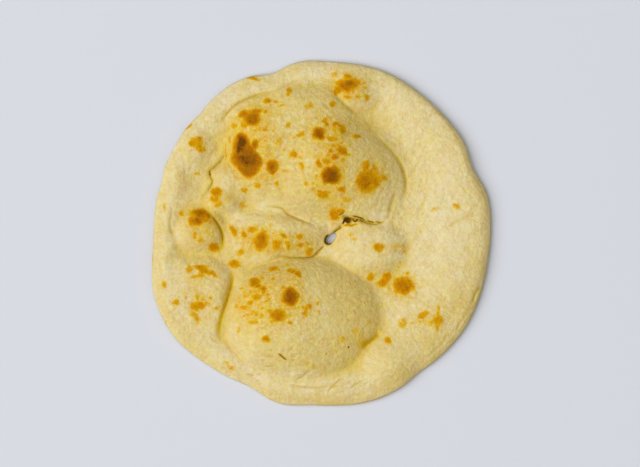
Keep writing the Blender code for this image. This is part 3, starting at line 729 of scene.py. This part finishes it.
def underside_height(x, y, rim_inset, hole_inset):
    """Height of the underside: flat, and curling up to the rim and to the edge of the hole."""
    rim = around(WAIST, np.arctan2(y, x)) * (1 - rounded_edge(rim_inset, UNDERSIDE_REACH))
    hole = HOLE_WAIST * (1 - rounded_edge(hole_inset, hole_edge(x, y)))
    return rim + hole


def crowded(part):
    """0 to 1, with small steps at both ends, where the edges are round."""
    return (1 - EDGE_CROWDING) * part + EDGE_CROWDING * 0.5 * (1 - np.cos(pi * part))


def ring_places():
    """For each ring of the mesh, its place from the hole (0) to the rim (1), and whether it is on top.

    The first ring is the outermost line; the rings go over the top to the hole and back underneath.
    """
    top = 1 - crowded(np.arange(TOP_RINGS) / TOP_RINGS)
    underside = crowded(np.arange(UNDERSIDE_RINGS) / UNDERSIDE_RINGS)
    on_top = np.arange(TOP_RINGS + UNDERSIDE_RINGS) <= TOP_RINGS
    return np.concatenate([top, underside]), on_top


# ---- burns and stains

def away_from(x, y, stain):
    """Distance from a stain's centre: 1 on its outline."""
    along, across = turned_about(x, y, stain.x, stain.y, stain.turn)
    return np.hypot(along / (stain.half_width * MM), across / (stain.half_height * MM))


def burn_tone(x, y, burn):
    """Tone of one burn: its own inside its outline, running out to 0 over the fringe."""
    away = away_from(x, y, burn)
    size = sqrt(burn.half_width * burn.half_height)
    outline = OUTLINE_TONE * sqrt(burn.tone)
    plateau = max(PLATEAU, (size / WIDE_BURN) ** PLATEAU_GROWTH)
    inside = outline + (burn.tone - outline) * (1 - away ** plateau)
    outside = outline * (1 - (away - 1) * size * MM / FRINGE)
    return np.where(away < 1, inside, np.maximum(outside, 0))


def flecks():
    """Small burns strewn over their patches, with a set seed."""
    draw = np.random.default_rng(FLECK_SEED)
    strewn = []
    for patch in (Patch(*row) for row in FLECK_PATCHES):
        for _ in range(patch.count):
            x, y = strewn_place(draw, patch)
            size = draw.uniform(*FLECK_SIZES)
            width = size * draw.uniform(*FLECK_ASPECTS)
            turn = draw.uniform(*FLECK_TURNS)
            strewn.append(Stain(x, y, width, size, draw.uniform(*FLECK_TONES), turn))
    return strewn


def toast_field(x, y):
    """How toasted the top skin is, 0 to a little over 1, with ragged outlines."""
    ragged_x = x.copy()
    ragged_y = y.copy()
    for layer in RAGGEDNESS:
        ragged_x += uneven(x, y, layer)
        ragged_y += uneven(y + RADIUS, x, layer)
    toast = np.zeros_like(x)
    for burn in [Stain(*row) for row in BURNS] + flecks():
        toast = np.maximum(toast, burn_tone(ragged_x, ragged_y, burn))
    return toast


def stain_field(points, rows):
    """How strong the broad soft stains are at each point, 0 to 1."""
    field = np.zeros(points.shape[:2])
    for stain in (Stain(*row) for row in rows):
        away = away_from(points[:, :, 0], points[:, :, 1], stain)
        field = np.maximum(field, stain.tone * np.exp(-(away ** 2)))
    return field


# ---- the skin and its fields

def bread_skin():
    """Points of the whole skin, one row of rings for each segment, and how toasted each one is."""
    angle = np.arange(SEGMENTS) / SEGMENTS * tau
    outline = outline_radius(angle)
    hole = around(HOLE_REACH, angle)
    rim_points = np.stack([outline * np.cos(angle), outline * np.sin(angle)], axis=1)
    hole_points = np.stack([hole * np.cos(angle), hole * np.sin(angle)], axis=1) + HOLE_CENTRE
    span = np.linalg.norm(rim_points - hole_points, axis=1)

    place, on_top = ring_places()
    flat = hole_points[:, None, :] + place[None, :, None] * (rim_points - hole_points)[:, None, :]
    x = flat[:, :, 0]
    y = flat[:, :, 1]
    rim_inset = span[:, None] * (1 - place)
    hole_inset = span[:, None] * place
    toast = toast_field(x, y) * on_top
    top = top_height(x, y, rim_inset, hole_inset, toast)
    underside = underside_height(x, y, rim_inset, hole_inset)
    height = np.where(on_top, top, underside)
    return np.stack([x, y, height], axis=2), toast


def fitted_to_box(points, low, high):
    """Points stretched a little so that they fill the solid's box exactly."""
    own_low = points.min(axis=(0, 1))
    own_high = points.max(axis=(0, 1))
    low = np.array(low)
    return low + (points - own_low) * ((np.array(high) - low) / (own_high - own_low))


def blurred(values, rounds):
    """Values averaged with their neighbours on the skin, again and again."""
    for _ in range(rounds):
        values = (np.roll(values, 1, 0) + np.roll(values, -1, 0)
                  + np.roll(values, 1, 1) + np.roll(values, -1, 1)) / 4
    return values


def sunk(points, rounds, depth):
    """How far the skin lies below itself blurred, in depths."""
    return (blurred(points[:, :, 2], rounds) - points[:, :, 2]) / depth


def steepness(points):
    """Slope of the broad form of the skin, rise over run."""
    height = blurred(points[:, :, 2], VALLEY_ROUNDS)
    slope = np.zeros_like(height)
    for axis in (0, 1):
        rise = np.roll(height, 1, axis) - np.roll(height, -1, axis)
        run = np.linalg.norm(np.roll(points, 1, axis)[:, :, :2] - np.roll(points, -1, axis)[:, :, :2], axis=2)
        slope = np.hypot(slope, rise / np.maximum(run, SHORTEST_RUN))
    return slope


def flank_field(points):
    """How strong the tint of the steep flanks is, partly a golden bake and partly painted shade, and none at
    the pale edge.
    """
    place, _ = ring_places()
    gentle, steep = FLANK_SLOPES
    inside = ease((1 - place) * RADIUS / PALE_EDGE_WIDTH)
    return FLANK_SHARE * (ease((steepness(points) - gentle) / (steep - gentle)) * inside)


def fold_stain(points, folds, width, full_depth):
    """How stained by the folds each point is, 0 to 1, partly painted shade: `width` in half-widths, 1 at the
    full depth.
    """
    x = points[:, :, 0]
    y = points[:, :, 1]
    stain = np.zeros_like(x)
    for fold in folds:
        distance, share = line_distance(x, y, fold.line)
        depth = min(1, fold.depth / full_depth)
        near = np.exp(-((distance / (fold.half_width * width)) ** 2))
        stain = np.maximum(stain, depth * near * fold_fade(share))
    return stain


def painted_hole_shade():
    """How strong the painted shade is on the shaded side of the hole's edge, fading over a short way."""
    place, _ = ring_places()
    angle = np.arange(SEGMENTS)[:, None] / SEGMENTS * tau
    shaded_side = np.clip(HOLE_SHADE_ROUND + np.cos(angle - radians(HOLE_SHADE_DIRECTION)), 0, 1)
    return HOLE_SHADE * shaded_side * np.exp(-((place * RADIUS / HOLE_SHADE_WIDTH) ** HOLE_SHADE_STEEPNESS))


def painted_edge_shade(points):
    """How strong the painted shade is on the shaded side of the outer edge, fading over a short way."""
    place, _ = ring_places()
    angle = np.arctan2(points[:, :1, 1], points[:, :1, 0])
    shaded_side = np.clip(np.cos(angle - radians(EDGE_SHADE_DIRECTION)), 0, 1)
    return EDGE_SHADE * shaded_side * np.exp(-(((1 - place) * RADIUS / EDGE_SHADE_WIDTH) ** 2))


def fold_fields(raw):
    """Stains along the folds, wrinkles and rips, partly painted shade, and painted shade at the edges."""
    golden = tuple(fold for fold in FOLDS if fold.name in GOLDEN_FOLDS)
    plain = tuple(fold for fold in FOLDS if fold.name not in GOLDEN_FOLDS)
    creased = fold_stain(raw, golden, FOLD_STAIN_WIDTH, FOLD_STAIN_DEPTH)
    # the golden stains, mostly painted shade
    creased = np.maximum(creased, stain_field(raw, GOLDS_AND_SHADE))
    wrinkled = fold_stain(raw, plain + WRINKLES, WRINKLE_STAIN_WIDTH, FOLD_STAIN_DEPTH)
    strewn = CREASE_STAIN * strewn_creases(raw[:, :, 0], raw[:, :, 1])
    ripped = fold_stain(raw, RIPS, RIP_STAIN_WIDTH, RIP_STAIN_DEPTH)
    return {
        # the fold field also holds the painted shade of the outer edge
        "fold": np.maximum(creased, painted_edge_shade(raw)),
        "wrinkle": np.maximum(wrinkled, strewn),
        # the rip field also holds the painted shade of the hole's edge
        "rip": np.maximum(ripped, painted_hole_shade()),
        # painted shade beside the folds
        "halo_shade": FOLD_HALO_SHADE * fold_stain(raw, FOLDS, FOLD_HALO_WIDTH, FOLD_STAIN_DEPTH),
    }


def skin_fields(raw, points, toast):
    """The fields that the colours follow, by name."""
    _, on_top = ring_places()
    flour = stain_field(raw, FLOURS)
    of_the_top = {
        "flour": flour,
        # painted shade where the skin lies below itself blurred
        "valley_shade": np.clip(sunk(points, VALLEY_ROUNDS, VALLEY_DEPTH), -1, 1) * (1 - flour),
        "hollow_shade": np.clip(sunk(points, HOLLOW_ROUNDS, HOLLOW_DEPTH), 0, 1) * (1 - flour),
        # partly painted shade on steep flanks
        "flank": flank_field(points),
        # tan, partly painted shade
        "tan": stain_field(raw, TANS_AND_SHADE),
        **fold_fields(raw),
    }
    low, high = BAKED_HEIGHTS
    return {
        "toast": toast,
        "glow": blurred(toast, GLOW_ROUNDS),
        "baked": BAKED_SHARE * ease((points[:, :, 2] - low) / (high - low)),
        "underside": np.broadcast_to(~on_top, toast.shape),
        **{name: values * on_top for name, values in of_the_top.items()},
    }


# ---- the mesh

def skin_faces():
    """The four points of each face, and for each face its segment and ring."""
    rings = TOP_RINGS + UNDERSIDE_RINGS
    segment, ring = np.meshgrid(np.arange(SEGMENTS), np.arange(rings), indexing="ij")
    next_segment = (segment + 1) % SEGMENTS
    next_ring = (ring + 1) % rings
    corners = np.stack([
        segment * rings + ring,
        next_segment * rings + ring,
        next_segment * rings + next_ring,
        segment * rings + next_ring,
    ], axis=-1)
    return corners.reshape(-1, 4), segment.ravel(), ring.ravel()


def lay_out_map(mesh, points):
    """Lays the top and the underside out as two discs, with distances along the skin kept even."""
    rings = TOP_RINGS + UNDERSIDE_RINGS
    steps = np.linalg.norm(np.roll(points, -1, 1) - points, axis=2)
    passed = np.concatenate([np.zeros((SEGMENTS, 1)), np.cumsum(steps, axis=1)], axis=1)
    top_length = passed[:, TOP_RINGS:TOP_RINGS + 1]
    under_length = passed[:, rings:] - top_length
    top_share = 1 - passed[:, :TOP_RINGS + 1] / top_length
    under_share = (passed[:, TOP_RINGS:] - top_length) / under_length

    _, segment, ring = skin_faces()
    on_top = ring < TOP_RINGS
    uv = np.zeros((len(ring), 4, 2))
    for corner, (turn, step) in enumerate(((0, 0), (1, 0), (1, 1), (0, 1))):
        angle = (segment + turn) / SEGMENTS * tau
        at_segment = (segment + turn) % SEGMENTS
        at_ring = ring + step
        share = np.where(on_top, top_share[at_segment, np.minimum(at_ring, TOP_RINGS)],
                         under_share[at_segment, np.maximum(at_ring - TOP_RINGS, 0)])
        share = HOLE_SHARE + (1 - HOLE_SHARE) * share
        for axis, wave in enumerate((np.cos(angle), np.sin(angle))):
            top = TOP_CHART[axis] + TOP_CHART[2] * share * wave
            under = UNDERSIDE_CHART[axis] + UNDERSIDE_CHART[2] * share * wave
            uv[:, corner, axis] = np.where(on_top, top, under)
    layer = mesh.uv_layers.new(name=BAKE_MAP)
    layer.data.foreach_set("uv", uv.ravel())


def skin_mesh(points):
    corners, _, _ = skin_faces()
    mesh = bpy.data.meshes.new(SKIN)
    mesh.from_pydata(points.reshape(-1, 3).tolist(), [], corners.tolist())
    mesh.shade_smooth()
    lay_out_map(mesh, points)
    return mesh


def new_object(name, data):
    made = bpy.data.objects.new(name, data)
    bpy.context.scene.collection.objects.link(made)
    return made


def make_naan():
    raw, toast = bread_skin()
    points = fitted_to_box(raw, *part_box(NAAN))
    mesh = skin_mesh(points)
    fields = skin_fields(raw, points, toast)
    for name, values in fields.items():
        layer = mesh.attributes.new(name, "FLOAT", "POINT")
        layer.data.foreach_set("value", np.ascontiguousarray(values, dtype=np.float32).ravel())
    mesh.materials.append(bread_material(fields))
    return new_object(SKIN, mesh)


# ---- materials

def plug(tree, target, sockets):
    """Gives each socket a value, or a link where the value is another node's output."""
    for socket, value in sockets.items():
        if isinstance(value, bpy.types.NodeSocket):
            tree.links.new(value, target.inputs[socket])
        else:
            target.inputs[socket].default_value = value


def node(tree, kind, sockets=(), **settings):
    made = tree.nodes.new("ShaderNode" + kind)
    for name, value in settings.items():
        setattr(made, name, value)
    plug(tree, made, dict(sockets))
    return made


def noise(tree, position, kind):
    """Noise between 0 and 1, with cells of about the size that its kind gives."""
    made = node(tree, "TexNoise", {"Vector": position, "Scale": 1 / kind.cell, "Detail": kind.detail,
                                   "Roughness": kind.roughness, "Distortion": kind.distortion})
    return made.outputs["Fac"]


def maths(tree, operation, a, b=0.0, c=0.0):
    return node(tree, "Math", {0: a, 1: b, 2: c}, operation=operation).outputs[0]


def remap(tree, value, low, high, to_low=0.0, to_high=1.0):
    made = node(tree, "MapRange", {"Value": value, "From Min": low, "From Max": high,
                                   "To Min": to_low, "To Max": to_high}, interpolation_type="SMOOTHSTEP")
    return made.outputs["Result"]


def mix(tree, share, a, b):
    """Colour `a` turned into colour `b` by the share."""
    made = node(tree, "Mix", {0: share, 6: a, 7: b}, data_type="RGBA")
    return made.outputs[2]


def ramp(tree, value, stops):
    made = node(tree, "ValToRGB", {"Fac": value})
    elements = made.color_ramp.elements
    while len(elements) < len(stops):
        elements.new(0.5)
    for element, (place, colour) in zip(elements, stops):
        element.position = place
        element.color = colour
    return made.outputs["Color"]


def freckles(tree, position):
    """Scattered soft dots, one in each cell whose own draw chooses it."""
    dots = node(tree, "TexVoronoi", {"Vector": position, "Scale": 1 / FRECKLE_CELL, "Randomness": 1.0})
    draws = node(tree, "SeparateColor", {"Color": dots.outputs["Color"]}).outputs[0]
    chosen = maths(tree, "LESS_THAN", draws, FRECKLED)
    return maths(tree, "MULTIPLY", remap(tree, dots.outputs["Distance"], *FRECKLE_RADII), chosen)


def make_sources(tree, fields):
    """What the tints read, by name: the noises, the skin's fields and what is made of them."""
    position = node(tree, "TexCoord").outputs["Object"]
    sources = {name: noise(tree, position, kind) for name, kind in NOISES.items()}
    for name in fields:
        sources[name] = node(tree, "Attribute", attribute_name=name).outputs["Fac"]
    for other in ("rip", "wrinkle"):
        sources["fold_or_" + other] = maths(tree, "MAXIMUM", sources["fold"], sources[other])
    sources["freckle"] = freckles(tree, position)
    return sources


def read(tree, sources, *readings):
    """The product of readings."""
    product = None
    for name, *values in readings:
        factor = remap(tree, sources[name], *values) if values else sources[name]
        product = maths(tree, "MULTIPLY", product, factor) if product else factor
    return product


def toast_value(tree, sources):
    """Toast with fine ragged edges and mottling."""
    shift = maths(tree, "ADD", read(tree, sources, EDGE_SHIFT), read(tree, sources, FRAY_SHIFT))
    top = maths(tree, "MULTIPLY_ADD", shift, read(tree, sources, *SHIFTED), sources["toast"])
    return maths(tree, "ADD", top, read(tree, sources, *SCORCHED_UNDERSIDE))


def dough_colour(tree, sources):
    """Pale floury dough, golden on the domes and near burns, mottled, and darker in valleys and folds:
    painted shade in the valleys and partly painted shade in the folds.
    """
    dough = DOUGH
    for colour, *readings in TINTS:
        dough = mix(tree, read(tree, sources, *readings), dough, colour)
    return dough


def new_material(name):
    """A material, its tree and the shader in it."""
    material = bpy.data.materials.new(name)
    material.use_nodes = True
    tree = material.node_tree
    return material, tree, tree.nodes["Principled BSDF"]


def bread_material(fields):
    material, tree, shader = new_material("naan_baked_dough")
    sources = make_sources(tree, fields)
    toast = toast_value(tree, sources)
    burnt = remap(tree, toast, *TOAST_SHOWS)
    colour = mix(tree, burnt, dough_colour(tree, sources), ramp(tree, toast, TOAST_COLOURS))
    tinted = node(tree, "HueSaturation", {"Hue": read(tree, sources, HUE_DRIFT), "Color": colour})
    bump = node(tree, "Bump", {"Height": sources["pucker"], "Strength": 1.0, "Distance": PUCKER_RISE})
    plug(tree, shader, {"Base Color": tinted.outputs["Color"], "Roughness": remap(tree, toast, *ROUGHNESS),
                        "Normal": bump.outputs["Normal"], "Specular IOR Level": DOUGH_SPECULAR})
    return material


def floor_material():
    material, tree, shader = new_material("floor")
    plug(tree, shader, {"Base Color": FLOOR_COLOUR, "Roughness": FLOOR_ROUGHNESS,
                        "Specular IOR Level": FLOOR_SPECULAR})
    return material


# ---- floor, light and camera

def make_floor():
    bpy.ops.mesh.primitive_plane_add(size=FLOOR_SIZE)
    floor = bpy.context.active_object
    floor.name = "floor"
    floor.data.materials.append(floor_material())


def make_lamp(lamp):
    """A square lamp that gives about `light` watts a square metre to a surface that faces it."""
    data = bpy.data.lights.new(lamp.name, "AREA")
    data.size = lamp.size
    data.color = lamp.colour
    data.energy = lamp.light * pi * lamp.distance ** 2
    azimuth = radians(lamp.azimuth)
    elevation = radians(lamp.elevation)
    towards = Vector((cos(azimuth) * cos(elevation), sin(azimuth) * cos(elevation), sin(elevation)))
    holder = new_object(lamp.name, data)
    holder.location = towards * lamp.distance
    holder.rotation_euler = towards.to_track_quat("Z", "Y").to_euler()


def make_sky():
    world = bpy.data.worlds.new("sky")
    world.use_nodes = True
    background = world.node_tree.nodes["Background"]
    background.inputs["Color"].default_value = SKY_COLOUR
    background.inputs["Strength"].default_value = SKY_STRENGTH
    bpy.context.scene.world = world


def make_camera():
    """Looks straight down, with +Y up in the picture."""
    data = bpy.data.cameras.new("camera")
    data.sensor_width = SENSOR_WIDTH
    data.lens = SENSOR_WIDTH * CAMERA_HEIGHT / FRAME_WIDTH
    camera = new_object("camera", data)
    camera.location = (*CAMERA_OVER, CAMERA_HEIGHT)
    bpy.context.scene.camera = camera
    bpy.context.scene.view_settings.view_transform = "Standard"


naan_skin = make_naan()
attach(naan_skin, "root")
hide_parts(NAAN)
make_floor()
for each_lamp in LAMPS:
    make_lamp(each_lamp)
make_sky()
make_camera()
